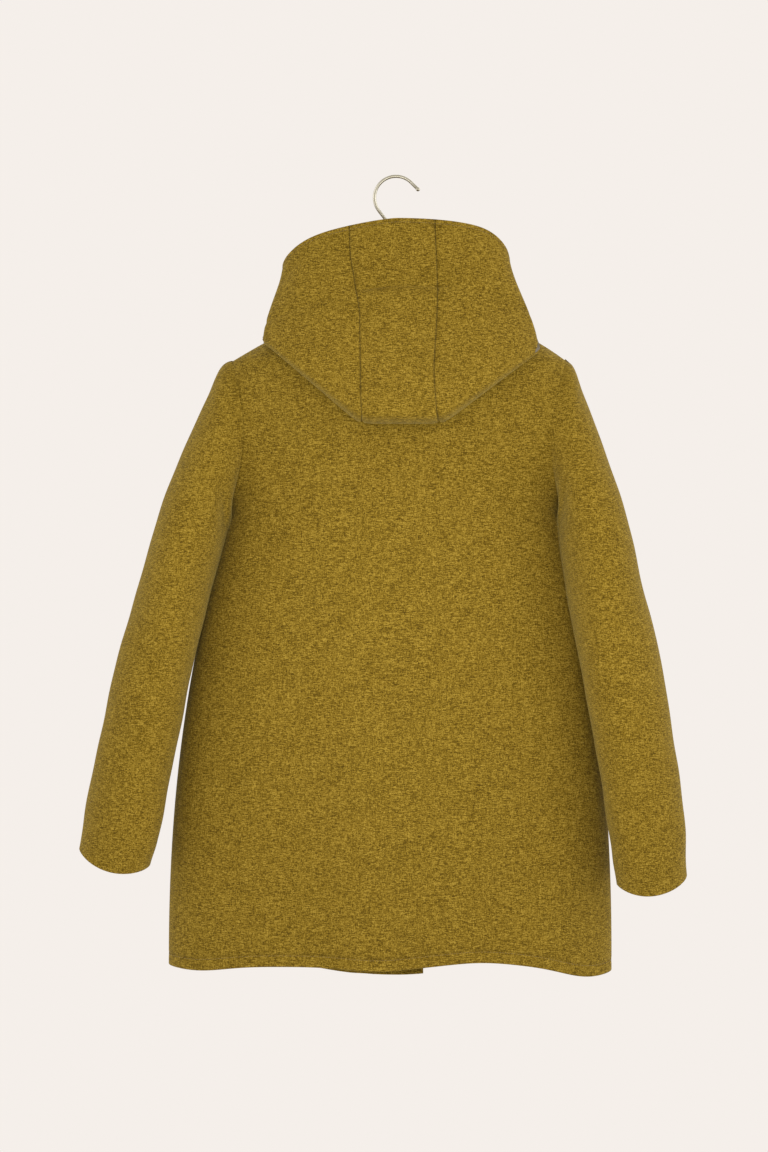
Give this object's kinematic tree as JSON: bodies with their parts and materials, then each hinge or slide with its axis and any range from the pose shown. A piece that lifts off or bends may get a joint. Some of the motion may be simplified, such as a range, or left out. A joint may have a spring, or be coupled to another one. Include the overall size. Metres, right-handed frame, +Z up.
{
  "type": "hooded duffle coat on a hanger",
  "caption": "Hooded wool duffle coat hanging on a wooden hanger, with lifting sleeves and hood, fronts that fold open, swinging toggles, pocket flaps and a swivelling hook.",
  "frame": {"origin": "seat of the hanger hook, the top of the inside of the hook where it rests on a rail", "axes": "+Z up, +Y towards the back of the coat, +X towards the wearer's left"},
  "size_m": [0.73, 0.2109, 0.973],
  "materials": {
    "wool": "brushed wool cloth in a mustard melange, soft nap with darker and lighter flecks",
    "wool_facing": "the same wool cloth turned to the inside, flatter nap",
    "lining": "smooth satin twill lining in a darker olive",
    "leather": "fine grained brown leather with edge stitching",
    "cord": "braided round cord",
    "horn_wood": "turned and polished wooden toggle",
    "hanger_wood": "clear lacquered beech",
    "hook_metal": "nickel plated steel wire",
    "label": "blank woven label"
  },
  "bodies": {
    "coat": {"back_panel": "wool", "front_left_chest": "wool", "front_right_chest": "wool", "front_left_side": "wool", "front_right_side": "wool", "body_lining": "lining", "back_neck_facing": "wool_facing", "hanging_loop": "wool_facing", "neck_label": "label", "pocket_left": "wool", "pocket_right": "wool", "hood_left_throat": "wool", "hood_right_throat": "wool", "hanger_bar": "hanger_wood", "hanger_ferrule": "hook_metal"},
    "hook": {"hanger_hook": "hook_metal"},
    "hood": {"hood_centre_panel": "wool", "hood_left_panel": "wool", "hood_right_panel": "wool", "hood_rim_facing": "wool_facing", "hood_lining": "lining"},
    "sleeve_left": {"sleeve_left": "wool", "sleeve_left_lining": "lining"},
    "sleeve_right": {"sleeve_right": "wool", "sleeve_right_lining": "lining"},
    "front_left": {"front_left_edge": "wool", "facing_left": "wool_facing", "loop_tabs": "leather", "loops": "cord"},
    "front_right": {"front_right_edge": "wool", "facing_right": "wool_facing", "toggle_tabs": "leather"},
    "pocket_flap_left": {"pocket_flap_left": "wool"},
    "pocket_flap_right": {"pocket_flap_right": "wool"},
    "toggle_1": {"toggle_1": "horn_wood", "toggle_cord_1": "cord"},
    "toggle_2": {"toggle_2": "horn_wood", "toggle_cord_2": "cord"},
    "toggle_3": {"toggle_3": "horn_wood", "toggle_cord_3": "cord"},
    "toggle_4": {"toggle_4": "horn_wood", "toggle_cord_4": "cord"}
  },
  "joints": [
    {"name": "hook_swivel", "type": "hinge", "parent": "coat", "child": "hook", "pos_m": [0, 0, -0.1], "axis": [0, 0, 1], "continuous": true},
    {"name": "hood_lift", "type": "hinge", "parent": "coat", "child": "hood", "pos_m": [0, 0, -0.156], "axis": [1, 0, 0], "range_deg": [0, 20]},
    {"name": "sleeve_left_lift", "type": "hinge", "parent": "coat", "child": "sleeve_left", "pos_m": [0.2, 0, -0.219], "axis": [0, -1, 0], "range_deg": [0, 35]},
    {"name": "sleeve_right_lift", "type": "hinge", "parent": "coat", "child": "sleeve_right", "pos_m": [-0.2, 0, -0.219], "axis": [0, 1, 0], "range_deg": [0, 35]},
    {"name": "front_left_open", "type": "hinge", "parent": "coat", "child": "front_left", "pos_m": [0.112, -0.0985, -0.6], "axis": [0, 0, 1], "range_deg": [0, 70]},
    {"name": "front_right_open", "type": "hinge", "parent": "coat", "child": "front_right", "pos_m": [-0.112, -0.097, -0.6], "axis": [0, 0, -1], "range_deg": [0, 35]},
    {"name": "pocket_flap_left_lift", "type": "hinge", "parent": "coat", "child": "pocket_flap_left", "pos_m": [0.1221, -0.1001, -0.6], "axis": [-0.9588, -0.2841, 0], "range_deg": [0, 75]},
    {"name": "pocket_flap_right_lift", "type": "hinge", "parent": "coat", "child": "pocket_flap_right", "pos_m": [-0.1223, -0.0984, -0.6], "axis": [-0.9468, 0.3217, 0], "range_deg": [0, 75]},
    {"name": "toggle_1_swing", "type": "hinge", "parent": "front_right", "child": "toggle_1", "pos_m": [-0.07, -0.0927, -0.335], "axis": [0, 0, -1], "range_deg": [0, 85]},
    {"name": "toggle_2_swing", "type": "hinge", "parent": "front_right", "child": "toggle_2", "pos_m": [-0.07, -0.1003, -0.465], "axis": [0, 0, -1], "range_deg": [0, 85]},
    {"name": "toggle_3_swing", "type": "hinge", "parent": "front_right", "child": "toggle_3", "pos_m": [-0.07, -0.1018, -0.595], "axis": [0, 0, -1], "range_deg": [0, 85]},
    {"name": "toggle_4_swing", "type": "hinge", "parent": "front_right", "child": "toggle_4", "pos_m": [-0.07, -0.1023, -0.725], "axis": [0, 0, -1], "range_deg": [0, 85]}
  ],
  "couplings": [
    {"joint": "front_right_open", "follows": "front_left_open", "ratio": 0.5}
  ]
}
